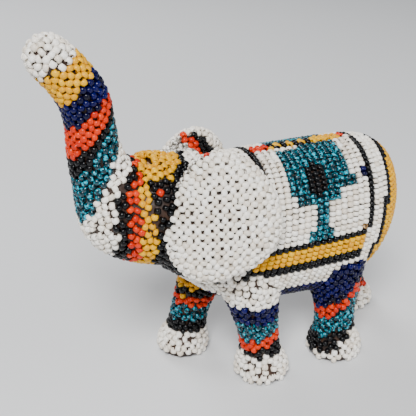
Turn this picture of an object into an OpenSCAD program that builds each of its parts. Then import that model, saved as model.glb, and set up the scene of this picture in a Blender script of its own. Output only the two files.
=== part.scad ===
// Beaded elephant figurine, walking, with its trunk raised.
// A carved wood core, a coat of wax over it, and a coat of glass beads pressed and threaded over the
// wax. Each colour field of beads is a piece of its own. Millimetres, +Z up. The figure faces -X and
// its left side is -Y. The origin is on the ground under the middle of the figure.

/* [Figure] */
// Length of the torso, from inside the neck to the rump
torso_length = 84; // [68:1:110]
// Width of the torso across the flanks
torso_width = 38.5; // [32:0.5:50]
// Height of the torso from belly to back
torso_height = 47.5; // [40:0.5:57]
// Height of the middle of the torso above the ground
torso_lift = 49.8; // [46:0.1:60]
// Diameter of the head barrel
head_diameter = 30; // [27:0.5:38]
// Diameter of the bare trunk at its narrow stretch
trunk_diameter = 9; // [7.5:0.25:11]
// Height of the trunk's tip above the middle of the head
trunk_rise = 53.5; // [44:0.5:64]

/* [Legs] */
// Distance from the middle plane to the middle of each foot
foot_spread = 12.5; // [10.5:0.25:15]
// Diameter of the wood at the ankle
ankle_diameter = 7.8; // [6.5:0.1:9.4]
// Diameter of the wood at the foot
foot_diameter = 12.8; // [10.6:0.1:15.4]

/* [Ears] */
// Length of an ear, front to back
ear_length = 28.5; // [23.5:0.5:34.5]
// Height of an ear
ear_height = 34; // [28:0.5:41]
// Thickness of the bare ear at its middle
ear_thickness = 4.5; // [3.5:0.25:6]

/* [Coats] */
// Thickness of the wax on the wood
wax_thickness = 0.8; // [0.5:0.1:1.5]
// Outer diameter of a bead, which is the thickness of the bead coat
bead_diameter = 2.2; // [1.8:0.1:2.7]
// Height of bare wood at the sole of each foot
sole_height = 0.6; // [0.4:0.1:1]

/* [Pegs] */
// Diameter of the peg that holds the trunk
trunk_peg_diameter = 4; // [3:0.25:5]
// Length of the peg that holds the trunk
trunk_peg_length = 14; // [10:1:18]
// Diameter of the peg that holds an ear
ear_peg_diameter = 2.5; // [2:0.25:3.5]
// Length of the peg that holds an ear
ear_peg_length = 12; // [9:0.5:14]
// Gap between a peg and its hole, all round
peg_gap = 0.1; // [0.05:0.05:0.3]

/* [Hidden] */
// Points round each section
SIDES = 18;
LEG_SIDES = 12;
EAR_SIDES = 20;
FAR = 200;

// Sections of the torso: share of its length from the neck, rise of its middle, share of the
// half width and share of the half height
TORSO = [
    [0, 8, 0.57, 0.54],
    [0.1, 5.5, 0.78, 0.72],
    [0.19, 3, 0.91, 0.86],
    [0.36, 1, 0.98, 0.965],
    [0.52, 0, 1, 1],
    [0.69, -0.3, 0.99, 1],
    [0.8, 1.2, 0.9, 0.92],
    [0.875, 3, 0.74, 0.79],
    [0.94, 4, 0.46, 0.55],
    [0.978, 4.2, 0.14, 0.18],
];
neck_x = -26;
rump_x = neck_x + torso_length;

// Sections of the head: forward from its middle, up from its middle, share of the head's half
// width and share of its half height
head_x = -24;
head_z = 62;
HEAD = [
    [8, 0, 0.89, 0.97],
    [0, 0.3, 0.91, 1],
    [-8, 2, 0.88, 0.97],
    [-14.5, 5, 0.72, 0.91],
    [-18.3, 9.8, 0.56, 0.66],
];
// Sections of the trunk: forward from the middle of the head, share of the trunk's rise, and
// shares of its half width each way
TRUNK = [
    [-21.5, 0.3, 1.3, 1.4],
    [-23.3, 0.44, 1.05, 1.12],
    [-24, 0.59, 0.98, 0.96],
    [-25.3, 0.725, 1, 0.98],
    [-29.3, 0.855, 0.9, 0.9],
    [-34.3, 0.96, 0.76, 0.84],
    [-36.8, 1, 0.4, 0.46],
];
// Head and trunk as one run of sections: [x, z, half width, half height]
RUN = concat(
    [for (s = HEAD) [head_x + s[0], head_z + s[1], s[2] * head_diameter / 2, s[3] * head_diameter / 2]],
    [for (s = TRUNK)
        [head_x + s[0], head_z + s[1] * trunk_rise, s[2] * trunk_diameter / 2, s[3] * trunk_diameter / 2]]
);

// Each leg: hip and foot along X, its side, with -1 for the left, and its girth
hind_foot = 0.695;
far_hip = 0.84;
LEGS = [
    [-1.8, 3, -1, 1],
    [neck_x + hind_foot * torso_length - 1.4, neck_x + hind_foot * torso_length, -1, 1.04],
    [-4.8, -15, 1, 0.98],
    [neck_x + far_hip * torso_length, rump_x - 2.5, 1, 1],
];
hip_spread = 11;
hip_diameter = 14;
hip_z = 37;
hip_top = 47;
// Sections of a leg: height, share of the way from hip to foot, and its diameter
LEG = [
    [0, 1, foot_diameter],
    [4, 1, foot_diameter],
    [10, 0.86, ankle_diameter * 1.08],
    [18, 0.68, ankle_diameter * 1.04],
    [27, 0.35, (ankle_diameter + hip_diameter) / 2],
    [hip_z, 0, hip_diameter],
    [hip_top, -0.2, hip_diameter * 0.6],
];

// Where an ear's middle sits, how far its top leans in and how far its rear edge stands out.
// The right ear is set lower and further back than the left
ear_x = -15;
ear_y = 18.5;
ear_z = 64.5;
ear_lean = 14;
ear_flare = 15;
function ear_at(side) = side < 0 ? [ear_x, ear_z] : [ear_x + 4, ear_z - 3];

// Layers, measured out from the wood
wax_out = wax_thickness;
bead_out = wax_thickness + bead_diameter;

// Planes that part the colours on the trunk and head: [x, z, tilt of the plane's normal from
// upright towards the front]
RINGS = [
    [-56, 111, 36],
    [-51, 105.3, 41],
    [-48.5, 98, 38],
    [-48, 91, 45],
    [-48, 86.3, 46],
    [-45.2, 72.2, 70],
    [-39.1, 65, 80],
    [-36.4, 64.2, 82],
    [-33.9, 64.1, 83],
    [-26, 61.7, 85],
    [-21, 60, 86],
];
// The plane where the trunk is joined to the face
ROOT = [-45, 77, 12];

// Value of a table between its rows: a Catmull-Rom curve through them
function at(rows, t) =
    let (last = len(rows) - 1, i = min(floor(t), last - 1), f = t - i)
    let (b = rows[i], c = rows[i + 1])
    let (a = i == 0 ? 2 * b - c : rows[i - 1], d = i == last - 1 ? 2 * c - b : rows[i + 2])
    (2 * b + f * (c - a) + f * f * (2 * a - 5 * b + 4 * c - d) + f * f * f * (3 * b - a - 3 * c + d)) / 2;
function lean(run, rise) = let (n = sqrt(run * run + rise * rise)) [-rise / n, run / n];
function rows_of(table) = [0:len(table) - 1];

// One ring round the torso, d outside the wood: an ellipse across X, moved along the normal of
// the torso's own profile
function torso_row(t) =
    let (s = at(TORSO, t))
    [neck_x + s[0] * torso_length, torso_lift + s[1], s[2] * torso_width / 2, s[3] * torso_height / 2];
function torso_ring(t, d) =
    let (last = len(TORSO) - 1, s = torso_row(t))
    let (e = torso_row(min(t + 0.1, last)) - torso_row(max(t - 0.1, 0)))
    let (across = lean(e[0], e[2]), upward = lean(e[0], e[3]))
    let (x = s[0] + d * (across[0] + upward[0]) / 2)
    [for (j = [0:SIDES - 1]) let (a = 360 * j / SIDES)
        [x, (s[2] + d * across[1]) * cos(a), s[1] + (s[3] + d * upward[1]) * sin(a)]];

// One ring round the head or trunk, d outside the wood: an ellipse square to the run's path
function run_ring(t, d) =
    let (last = len(RUN) - 1, s = at(RUN, t))
    let (e = at(RUN, min(t + 0.1, last)) - at(RUN, max(t - 0.1, 0)))
    let (pace = sqrt(e[0] * e[0] + e[1] * e[1]), ahead = [e[0], e[1]] / pace)
    let (across = lean(pace, e[2]), upward = lean(pace, e[3]))
    let (on = d * (across[0] + upward[0]) / 2)
    let (rw = s[2] + d * across[1], rh = s[3] + d * upward[1])
    [for (j = [0:SIDES - 1]) let (a = 360 * j / SIDES)
        [s[0] + on * ahead[0] + rh * sin(a) * ahead[1],
         rw * cos(a),
         s[1] + on * ahead[1] - rh * sin(a) * ahead[0]]];

// One ring round a leg, d outside the wood: a circle level with the ground
function leg_ring(leg, t, d) =
    let (s = at(LEG, t))
    let (x = leg[0] + s[1] * (leg[1] - leg[0]), y = hip_spread + s[1] * (foot_spread - hip_spread))
    let (r = s[2] * leg[3] / 2 + d)
    [for (j = [0:LEG_SIDES - 1]) let (a = 360 * j / LEG_SIDES)
        [x + r * cos(a), leg[2] * y + r * sin(a), s[0]]];

// Outline of an ear: its reach from the middle, as a share of half its size, at an angle a from
// the rear. It is full at the top, drawn out at the rear and narrow at the bottom front
function ear_reach(a) = 1 + 0.05 * cos(2 * a - 60) + 0.07 * cos(3 * a - 300);
function ear_ring(h, d) =
    let (round = sqrt(1 - 0.8 * h * h))
    [for (j = [0:EAR_SIDES - 1]) let (a = 360 * j / EAR_SIDES, r = ear_reach(a) * round)
        [(r * ear_length / 2 + d * round) * cos(a),
         -h * (ear_thickness / 2 + d),
         (r * ear_height / 2 + d * round) * sin(a)]];

// A solid through a run of rings, one convex piece between each two
module loft(rings) {
    for (i = [0:len(rings) - 2]) {
        points = concat(rings[i], rings[i + 1]);
        hull() polyhedron(points = points, faces = [[for (j = [0:len(points) - 1]) j]]);
    }
}

module torso(d) {
    loft([for (t = rows_of(TORSO)) torso_ring(t, d)]);
}

module run(d) {
    loft([for (t = rows_of(RUN)) run_ring(t, d)]);
}

module leg(i, d) {
    loft([for (t = rows_of(LEG)) leg_ring(LEGS[i], t, d)]);
}

module legs(d) {
    for (i = [0:len(LEGS) - 1]) leg(i, d);
}

// An ear: side is -1 for the left and 1 for the right. Its own +Y looks towards the head
module ear_place(side) {
    translate([ear_at(side)[0], side * ear_y, ear_at(side)[1]])
        mirror([0, side > 0 ? 1 : 0, 0])
        rotate([-ear_lean, 0, -ear_flare])
        children();
}
module ear(side, d) {
    ear_place(side) loft([for (h = [-1, -0.55, 0, 0.55, 1]) ear_ring(h, d)]);
}

module ears(d) {
    ear(-1, d);
    ear(1, d);
}

// Everything on the tip's side of a plane across the run
module beyond(plane) {
    translate([plane[0], 0, plane[1]])
        rotate([0, -plane[2], 0])
        translate([-FAR, -FAR, 0])
        cube([2 * FAR, 2 * FAR, FAR]);
}

module body(d) {
    torso(d);
    difference() {
        run(d);
        beyond(ROOT);
    }
}

module whole(d) {
    torso(d);
    run(d);
}

// The tip's side of one ring plane, less that of the next one up: ring fields count from the tip
module band(k) {
    difference() {
        beyond(RINGS[k]);
        if (k > 0) beyond(RINGS[k - 1]);
    }
}

// A place on the torso, as a share of its length and of its half height
function along(share) = neck_x + share * torso_length;
function above(share) = torso_lift + share * torso_height / 2;

// A flat shape in side view, carried right across the figure
module side_view() {
    rotate([90, 0, 0]) linear_extrude(2 * FAR, center = true) children();
}
module tile(x0, x1, z0, z1) {
    translate([along(x0), above(z0)]) square([along(x1) - along(x0), above(z1) - above(z0)]);
}

// Side views of the colour fields of the torso
neck_end = 0.06;
collar_front = 0.285;
blanket_front = 0.23;
blanket_rear = 0.762;
haunch_front = 0.78;
belt_low = -0.8;
border_low = -0.36;
border_high = 0.06;
HIGH = 3;
// A side view that leans back with height, and keeps its place at one height
module leaning(lean, share) {
    multmatrix([[1, lean, 0, -lean * above(share)], [0, 1, 0, 0], [0, 0, 1, 0], [0, 0, 0, 1]])
        children();
}
module flower_view() {
    leaning(0.15, 0) {
        tile(0.378, 0.65, 0.68, 1.07);
        tile(0.64, 0.676, 0.65, 0.78);
        tile(0.425, 0.604, 0.52, 0.69);
        tile(0.491, 0.554, border_high, 0.53);
        tile(0.46, 0.59, border_high, 0.22);
        tile(0.51, 0.565, 1.06, HIGH);
    }
}
module heart_view() {
    leaning(0.15, 0) {
        tile(0.475, 0.56, 0.67, 0.93);
        tile(0.495, 0.535, 0.62, 0.98);
    }
}
module border_view() {
    difference() {
        tile(blanket_front, blanket_rear, border_low, border_high);
        stripe_view();
    }
}
module stripe_view() {
    tile(blanket_front + 0.022, blanket_rear, border_low + 0.13, border_high - 0.1);
}
module collar_view() {
    tile(collar_front, collar_front + 0.025, 0.95, HIGH);
}
module flank_view() {
    difference() {
        union() {
            tile(neck_end, blanket_rear, border_high, HIGH);
            tile(neck_end, blanket_front, border_low, border_high + 0.01);
        }
        flower_view();
        collar_view();
    }
}
module belt_view() {
    tile(neck_end, blanket_rear, belt_low, border_low);
}
module belly_view() {
    tile(neck_end, blanket_rear, -HIGH, belt_low);
}
module behind(share) {
    leaning(0.31, 0) tile(share, 3, -HIGH, HIGH);
}
module haunch_black_view() {
    tile(blanket_rear, haunch_front, -HIGH, HIGH);
    difference() {
        intersection() {
            tile(haunch_front, 2, -HIGH, HIGH);
            behind(0.788);
        }
        behind(0.81);
    }
}
module haunch_white_view() {
    difference() {
        tile(haunch_front, 2, -HIGH, HIGH);
        behind(0.788);
    }
}
module rump_view() {
    intersection() {
        tile(haunch_front, 2, -HIGH, HIGH);
        behind(0.81);
    }
}

// The strip along the middle of the back, from under the collar to past the blanket's rear edge
spine_width = 5;
module spine_strip() {
    translate([along(collar_front + 0.01), -spine_width / 2, above(0)])
        cube([along(blanket_rear) - along(collar_front), spine_width, torso_height]);
}

// The coats: what lies between two layers, less what passes through them
module skin() {
    difference() {
        whole(bead_out);
        whole(wax_out);
        legs(wax_out);
        ears(wax_out);
        peg_holes();
    }
}
module ring_field(k) {
    intersection() {
        skin();
        band(k);
    }
}
module torso_field() {
    difference() {
        intersection() {
            skin();
            side_view() children();
        }
        beyond(RINGS[len(RINGS) - 1]);
    }
}
module level(z0, z1) {
    translate([-FAR, -FAR, z0]) cube([2 * FAR, 2 * FAR, z1 - z0]);
}

// Holes and pegs: the trunk's peg stands square to its joint, an ear's follows the ear's lean
ear_peg_y = 14;
module trunk_peg_at(diameter, length) {
    translate([ROOT[0], 0, ROOT[1]])
        rotate([0, -ROOT[2], 0])
        cylinder(d = diameter, h = length, center = true, $fn = 32);
}
module ear_pegs_at(diameter, length) {
    for (side = [-1, 1])
        translate([ear_at(side)[0] - 3, side * ear_peg_y, ear_at(side)[1] - 0.5])
        rotate([90 - side * ear_lean, 0, 0])
        cylinder(d = diameter, h = length, center = true, $fn = 32);
}
module peg_holes() {
    trunk_peg_at(trunk_peg_diameter + 2 * peg_gap, trunk_peg_length + 2 * peg_gap);
    ear_pegs_at(ear_peg_diameter + 2 * peg_gap, ear_peg_length + 2 * peg_gap);
}

// Wood
module body_core() {
    color("burlywood") difference() {
        union() {
            body(0);
            legs(0);
        }
        peg_holes();
    }
}
module trunk_core() {
    color("tan") difference() {
        intersection() {
            run(0);
            beyond(ROOT);
        }
        peg_holes();
    }
}
module ear_core(side) {
    color("tan") difference() {
        ear(side, 0);
        body(0);
        peg_holes();
    }
}
module ear_core_left() { ear_core(-1); }
module ear_core_right() { ear_core(1); }
module trunk_peg() {
    color("peru") trunk_peg_at(trunk_peg_diameter, trunk_peg_length);
}
module ear_pegs() {
    color("peru") ear_pegs_at(ear_peg_diameter, ear_peg_length);
}

// Wax
module body_wax() {
    color("saddlebrown") difference() {
        body(wax_out);
        body(0);
        legs(0);
        ears(0);
        peg_holes();
    }
}
module trunk_wax() {
    color("saddlebrown") difference() {
        intersection() {
            run(wax_out);
            beyond(ROOT);
        }
        run(0);
    }
}
module ear_wax(side) {
    color("saddlebrown") difference() {
        ear(side, wax_out);
        ear(side, 0);
        body(wax_out);
        peg_holes();
    }
}
module ear_wax_left() { ear_wax(-1); }
module ear_wax_right() { ear_wax(1); }
module leg_wax() {
    color("saddlebrown") intersection() {
        difference() {
            legs(wax_out);
            legs(0);
            body(wax_out);
        }
        level(sole_height / 2, FAR);
    }
}

// Eyes: a patch of black beads with one orange-red bead sewn on it, pierced upright
eye_x = -29.5;
eye_z = 72;
eye_patch = 6;
eye_diameter = 2.4;
eye_hole = 0.9;
eye_y = 15.6;
module eye_patches() {
    translate([eye_x, 0, eye_z])
        rotate([90, 0, 0])
        cylinder(d = eye_patch, h = FAR, center = true, $fn = 16);
}
module eye_beads() {
    color("orangered") for (side = [-1, 1])
        translate([eye_x, side * eye_y, eye_z])
        difference() {
            sphere(d = eye_diameter, $fn = 32);
            cylinder(d = eye_hole, h = 2 * eye_diameter, center = true, $fn = 24);
        }
}

// Beads on the trunk and head, from the tip to the cheek
module trunk_tip_beads() { color("ivory") ring_field(0); }
module trunk_yellow_beads() { color("gold") ring_field(1); }
module trunk_navy_beads() { color("navy") ring_field(2); }
module trunk_orange_beads() { color("orangered") ring_field(3); }
module trunk_black_beads() { color([0.1, 0.1, 0.1]) ring_field(4); }
module trunk_teal_beads() { color("teal") ring_field(5); }
module chin_white_beads() { color("ivory") ring_field(6); }
module face_black_beads() { color([0.1, 0.1, 0.1]) ring_field(7); }
module face_orange_beads() { color("orangered") ring_field(8); }
module face_yellow_beads() {
    color("gold") difference() {
        ring_field(9);
        eye_patches();
    }
}
module cheek_black_beads() {
    color([0.1, 0.1, 0.1]) {
        ring_field(10);
        intersection() {
            ring_field(9);
            eye_patches();
        }
    }
}

// Beads on the ears, and the inlay of black, orange and crystal on the face turned to the head
inlay_height = 12;
module ear_skin(side) {
    difference() {
        ear(side, bead_out);
        ear(side, wax_out);
        whole(bead_out);
    }
}
module ear_inlay_at(side) {
    ear_place(side)
        translate([-1, 0, ear_height / 2 - inlay_height / 2])
        rotate([-90, 0, 0])
        cylinder(d = inlay_height, h = FAR, $fn = 24);
}
module ear_beads(side) {
    color("ivory") difference() {
        ear_skin(side);
        ear_inlay_at(side);
    }
}
module ear_beads_left() { ear_beads(-1); }
module ear_beads_right() { ear_beads(1); }
module ear_inlay_beads() {
    color("silver") for (side = [-1, 1])
        intersection() {
            ear_skin(side);
            ear_inlay_at(side);
        }
}

// Beads on the torso
module flank_white_beads() {
    color("ivory") difference() {
        torso_field() flank_view();
        spine_strip();
    }
}
module spine_beads() {
    color("orange") intersection() {
        torso_field() {
            flank_view();
            flower_view();
        }
        spine_strip();
    }
}
module flower_beads() {
    color("teal") difference() {
        torso_field() difference() {
            flower_view();
            heart_view();
        }
        spine_strip();
    }
}
module flower_heart_beads() { color([0.1, 0.1, 0.1]) torso_field() heart_view(); }
module collar_beads() { color([0.1, 0.1, 0.1]) torso_field() collar_view(); }
module border_black_beads() { color([0.1, 0.1, 0.1]) torso_field() border_view(); }
module border_yellow_beads() { color("gold") torso_field() stripe_view(); }
module belt_white_beads() { color("ivory") torso_field() belt_view(); }
module belly_navy_beads() { color("navy") torso_field() belly_view(); }
module haunch_black_beads() { color([0.1, 0.1, 0.1]) torso_field() haunch_black_view(); }
module haunch_white_beads() { color("ivory") torso_field() haunch_white_view(); }
module rump_yellow_beads() { color("gold") torso_field() rump_view(); }

// Heights where the colours change on each leg, from the sole up. The left front leg has one more
// field, where the white of the belt comes down over its top
BANDS = [
    [sole_height, 9.6, 12.8, 16.2, 23, 30, hip_top],
    [sole_height, 6.4, 10.6, 19, 23.5, hip_top],
    [sole_height, 9.6, 13.3, 19.6, 23, hip_top],
    [sole_height, 8, 11, 14, 20, hip_top],
];
module leg_field(i, part, shade) {
    color(shade) intersection() {
        difference() {
            leg(i, bead_out);
            leg(i, wax_out);
            whole(bead_out);
        }
        level(BANDS[i][part], BANDS[i][part + 1]);
    }
}
module front_left_foot_beads() { leg_field(0, 0, "ivory"); }
module front_left_ankle_beads() { leg_field(0, 1, "dimgray"); }
module front_left_shin_beads() { leg_field(0, 2, "orangered"); }
module front_left_knee_beads() { leg_field(0, 3, "teal"); }
module front_left_thigh_beads() { leg_field(0, 4, "navy"); }
module front_left_hip_beads() { leg_field(0, 5, "ivory"); }
module hind_left_foot_beads() { leg_field(1, 0, "ivory"); }
module hind_left_ankle_beads() { leg_field(1, 1, "dimgray"); }
module hind_left_shin_beads() { leg_field(1, 2, "teal"); }
module hind_left_knee_beads() { leg_field(1, 3, "orangered"); }
module hind_left_thigh_beads() { leg_field(1, 4, "navy"); }
module front_right_foot_beads() { leg_field(2, 0, "ivory"); }
module front_right_ankle_beads() { leg_field(2, 1, "dimgray"); }
module front_right_shin_beads() { leg_field(2, 2, "teal"); }
module front_right_knee_beads() { leg_field(2, 3, "orangered"); }
module front_right_thigh_beads() { leg_field(2, 4, "gold"); }
module hind_right_foot_beads() { leg_field(3, 0, "ivory"); }
module hind_right_ankle_beads() { leg_field(3, 1, "orangered"); }
module hind_right_shin_beads() { leg_field(3, 2, "dimgray"); }
module hind_right_knee_beads() { leg_field(3, 3, "teal"); }
module hind_right_thigh_beads() { leg_field(3, 4, "navy"); }

body_core();
trunk_core();
ear_core_left();
ear_core_right();
trunk_peg();
ear_pegs();
body_wax();
trunk_wax();
ear_wax_left();
ear_wax_right();
leg_wax();
trunk_tip_beads();
trunk_yellow_beads();
trunk_navy_beads();
trunk_orange_beads();
trunk_black_beads();
trunk_teal_beads();
chin_white_beads();
face_black_beads();
face_orange_beads();
face_yellow_beads();
cheek_black_beads();
eye_beads();
ear_beads_left();
ear_beads_right();
ear_inlay_beads();
flank_white_beads();
spine_beads();
flower_beads();
flower_heart_beads();
collar_beads();
border_black_beads();
border_yellow_beads();
belt_white_beads();
belly_navy_beads();
haunch_black_beads();
haunch_white_beads();
rump_yellow_beads();
front_left_foot_beads();
front_left_ankle_beads();
front_left_shin_beads();
front_left_knee_beads();
front_left_thigh_beads();
front_left_hip_beads();
hind_left_foot_beads();
hind_left_ankle_beads();
hind_left_shin_beads();
hind_left_knee_beads();
hind_left_thigh_beads();
front_right_foot_beads();
front_right_ankle_beads();
front_right_shin_beads();
front_right_knee_beads();
front_right_thigh_beads();
hind_right_foot_beads();
hind_right_ankle_beads();
hind_right_shin_beads();
hind_right_knee_beads();
hind_right_thigh_beads();
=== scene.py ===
# %% [markdown]
# # A beaded elephant
# This figure is a carved wooden elephant, coated with soft wax and covered all over with glass
# seed beads. The frame holds its wood, its wax and one plain shell for each field of colour. What
# makes the real thing is the beads: each is a small pierced barrel of glass lying on its side, held
# by thread and wax. So this script lays every bead one by one over the surfaces that the wood is
# carved to, and each plain shell gives way to the beads of its field.

# %% Load the frame
import bpy
import numpy as np
from mathutils.bvhtree import BVHTree
from mathutils.kdtree import KDTree
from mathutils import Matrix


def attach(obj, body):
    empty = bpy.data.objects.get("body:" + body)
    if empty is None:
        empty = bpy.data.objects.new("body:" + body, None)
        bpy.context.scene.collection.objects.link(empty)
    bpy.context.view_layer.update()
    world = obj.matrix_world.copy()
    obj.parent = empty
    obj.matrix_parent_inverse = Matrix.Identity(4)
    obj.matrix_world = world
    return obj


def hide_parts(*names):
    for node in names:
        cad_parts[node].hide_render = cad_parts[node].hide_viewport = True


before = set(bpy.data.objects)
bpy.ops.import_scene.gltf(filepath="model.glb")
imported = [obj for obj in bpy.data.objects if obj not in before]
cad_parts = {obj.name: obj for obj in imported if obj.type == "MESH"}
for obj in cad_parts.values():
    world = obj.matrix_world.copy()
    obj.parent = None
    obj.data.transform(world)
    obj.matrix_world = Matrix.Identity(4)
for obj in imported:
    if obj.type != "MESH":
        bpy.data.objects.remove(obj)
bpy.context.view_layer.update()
MM = 0.001
rng = np.random.default_rng(11)
print("frame:", len(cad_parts), "nodes")

# %% [markdown]
# ## The carved shape
# The torso, the run of head and trunk, and the legs are each a table of sections with a smooth
# curve through its rows. The tables are the part's own, in millimetres, so that a bead lands where
# the wood is.

# %% Sizes of the wood and of its coats
TORSO_LENGTH, TORSO_WIDTH, TORSO_HEIGHT, TORSO_LIFT, NECK_X = 84, 38.5, 47.5, 49.8, -26
HEAD_DIAMETER, TRUNK_DIAMETER, TRUNK_RISE, HEAD_X, HEAD_Z = 30, 9, 53.5, -24, 62
FOOT_SPREAD, HIP_SPREAD, ANKLE, FOOT, HIP, HIP_Z, HIP_TOP = 12.5, 11, 7.8, 12.8, 14, 37, 47
EAR_LENGTH, EAR_HEIGHT, EAR_THICK = 28.5, 34, 4.5
EAR_LEAN, EAR_FLARE = np.radians(14), np.radians(15)
EARS = {-1: np.array([-15, -18.5, 64.5]), 1: np.array([-11, 18.5, 61.5])}
WAX, BEAD, SOLE = 0.8, 2.2, 0.6
BEAD_AT = WAX + BEAD / 2
TORSO = np.array([
    [0, 8, 0.57, 0.54], [0.1, 5.5, 0.78, 0.72], [0.19, 3, 0.91, 0.86], [0.36, 1, 0.98, 0.965],
    [0.52, 0, 1, 1], [0.69, -0.3, 0.99, 1], [0.8, 1.2, 0.9, 0.92], [0.875, 3, 0.74, 0.79],
    [0.94, 4, 0.46, 0.55], [0.978, 4.2, 0.14, 0.18]])
TORSO = np.column_stack([NECK_X + TORSO[:, 0] * TORSO_LENGTH, TORSO_LIFT + TORSO[:, 1],
                         TORSO[:, 2] * TORSO_WIDTH / 2, TORSO[:, 3] * TORSO_HEIGHT / 2])
HEAD = np.array([[8, 0, 0.89, 0.97], [0, 0.3, 0.91, 1], [-8, 2, 0.88, 0.97],
                 [-14.5, 5, 0.72, 0.91], [-18.3, 9.8, 0.56, 0.66]])
TRUNK = np.array([[-21.5, 0.3, 1.3, 1.4], [-23.3, 0.44, 1.05, 1.12], [-24, 0.59, 0.98, 0.96],
                  [-25.3, 0.725, 1, 0.98], [-29.3, 0.855, 0.9, 0.9], [-34.3, 0.96, 0.76, 0.84],
                  [-36.8, 1, 0.4, 0.46]])
RUN = np.vstack([
    np.column_stack([HEAD_X + HEAD[:, 0], HEAD_Z + HEAD[:, 1], HEAD[:, 2:] * HEAD_DIAMETER / 2]),
    np.column_stack([HEAD_X + TRUNK[:, 0], HEAD_Z + TRUNK[:, 1] * TRUNK_RISE,
                     TRUNK[:, 2:] * TRUNK_DIAMETER / 2])])
LEG = np.array([[0, 1, FOOT], [4, 1, FOOT], [10, 0.86, ANKLE * 1.08], [18, 0.68, ANKLE * 1.04],
                [27, 0.35, (ANKLE + HIP) / 2], [HIP_Z, 0, HIP], [HIP_TOP, -0.2, HIP * 0.6]])
HIND_X, RUMP_X = NECK_X + 0.695 * TORSO_LENGTH, NECK_X + TORSO_LENGTH
LEGS = {"front_left": (-1.8, 3, -1, 1), "hind_left": (HIND_X - 1.4, HIND_X, -1, 1.04),
        "front_right": (-4.8, -15, 1, 0.98),
        "hind_right": (NECK_X + 0.84 * TORSO_LENGTH, RUMP_X - 2.5, 1, 1)}
print("run of head and trunk:", len(RUN), "sections; torso:", len(TORSO), "sections")


# %% Smooth curves through the tables
def row_at(rows, t):
    """Catmull-Rom curve through the rows: each stretch is a cubic that leaves a row in the
    direction from the row before it to the row after it. t counts rows; all t at once."""
    last = len(rows) - 1
    t = np.clip(np.asarray(t, float), 0, last)
    i = np.minimum(t.astype(int), last - 1)
    f = (t - i)[:, None]
    padded = np.vstack([2 * rows[0] - rows[1], rows, 2 * rows[-1] - rows[-2]])
    a, b, c, d = (padded[i + k] for k in range(4))
    return (2 * b + f * (c - a) + f**2 * (2 * a - 5 * b + 4 * c - d)
            + f**3 * (3 * b - a - 3 * c + d)) / 2


FINE = 10
torso_rows, run_rows, leg_rows = (row_at(rows, np.linspace(0, len(rows) - 1, FINE * len(rows)))
                                  for rows in (TORSO, RUN, LEG))
run_ahead = np.gradient(run_rows[:, :2], axis=0)
run_pace = np.linalg.norm(run_ahead, axis=1)
run_ahead /= run_pace[:, None]
run_slope = np.gradient(run_rows[:, 2:].mean(1)) / run_pace
torso_slope = np.gradient(torso_rows[:, 2:].mean(1)) / np.gradient(torso_rows[:, 0])
TURN = np.radians(np.arange(0, 360, 5))


# %% Rings round each part
def torso_ring(i, a, d):
    """Points at angles a round the torso's row i, grown by d: an ellipse across X, made larger by
    d over the root of one plus slope squared, and moved on by d times slope over that root."""
    at = np.arange(len(torso_rows))
    x, z, w, h = (np.interp(i, at, torso_rows[:, k]) for k in range(4))
    slope = np.interp(i, at, torso_slope)
    out = d / np.sqrt(1 + slope**2)
    return np.column_stack([np.full_like(a, x - slope * out), (w + out) * np.cos(a),
                            z + (h + out) * np.sin(a)])


def run_ring(i, a, d):
    """As torso_ring for the head and trunk, with the ellipse square to the run's path."""
    at = np.arange(len(run_rows))
    x, z, w, h = (np.interp(i, at, run_rows[:, k]) for k in range(4))
    ahead = [np.interp(i, at, run_ahead[:, k]) for k in range(2)]
    slope = np.interp(i, at, run_slope)
    out = d / np.sqrt(1 + slope**2)
    on, up = -slope * out, (h + out) * np.sin(a)
    return np.column_stack([x + on * ahead[0] + up * ahead[1], (w + out) * np.cos(a),
                            z + on * ahead[1] - up * ahead[0]])


def leg_ring(leg, z, a, d):
    """Points at angles a round a leg at height z, grown by d: a level circle."""
    hip, foot, side, girth = leg
    share, across = (np.interp(z, leg_rows[:, 0], leg_rows[:, k]) for k in (1, 2))
    r = across * girth / 2 + d
    x = hip + share * (foot - hip)
    y = side * (HIP_SPREAD + share * (FOOT_SPREAD - HIP_SPREAD))
    return np.column_stack([x + r * np.cos(a), y + r * np.sin(a), np.full_like(a, z)])


def ear_reach(a):
    """Share of half its size that an ear reaches from its middle, at an angle from the rear."""
    return 1 + 0.05 * np.cos(2 * a - np.radians(60)) + 0.07 * np.cos(3 * a - np.radians(300))


def ear_axes(side):
    """An ear's own directions as rows: to the rear, away from the head, and up along its lean."""
    c, s, cl, sl = np.cos(EAR_FLARE), np.sin(EAR_FLARE), np.cos(EAR_LEAN), np.sin(EAR_LEAN)
    flip = np.array([1, side, 1])
    return np.array([[c, s, 0], [-s * cl, c * cl, sl], [s * sl, -c * sl, cl]]) * flip


def ear_ring(side, h, a, d):
    """Points at angles a round an ear at height h of its lens, from -1 to 1: its outline shrinks
    with the root of one less 0.8 times h squared."""
    small = np.sqrt(1 - 0.8 * h * h)
    reach = ear_reach(a) * small
    flat = np.column_stack([(reach * EAR_LENGTH / 2 + d * small) * np.cos(a),
                            np.full_like(a, h * (EAR_THICK / 2 + d)),
                            (reach * EAR_HEIGHT / 2 + d * small) * np.sin(a)])
    return flat @ ear_axes(side) + EARS[side]


def ear_local(p, side):
    """Points in an ear's own directions, from its middle."""
    return (p - EARS[side]) @ ear_axes(side).T


print("trunk tip at", run_rows[-1, :2].round(1))


# %% Skins from rings
FOOT_LIFT, LENS_RINGS, BOX_MARGIN = 0.35, 15, 9


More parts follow.
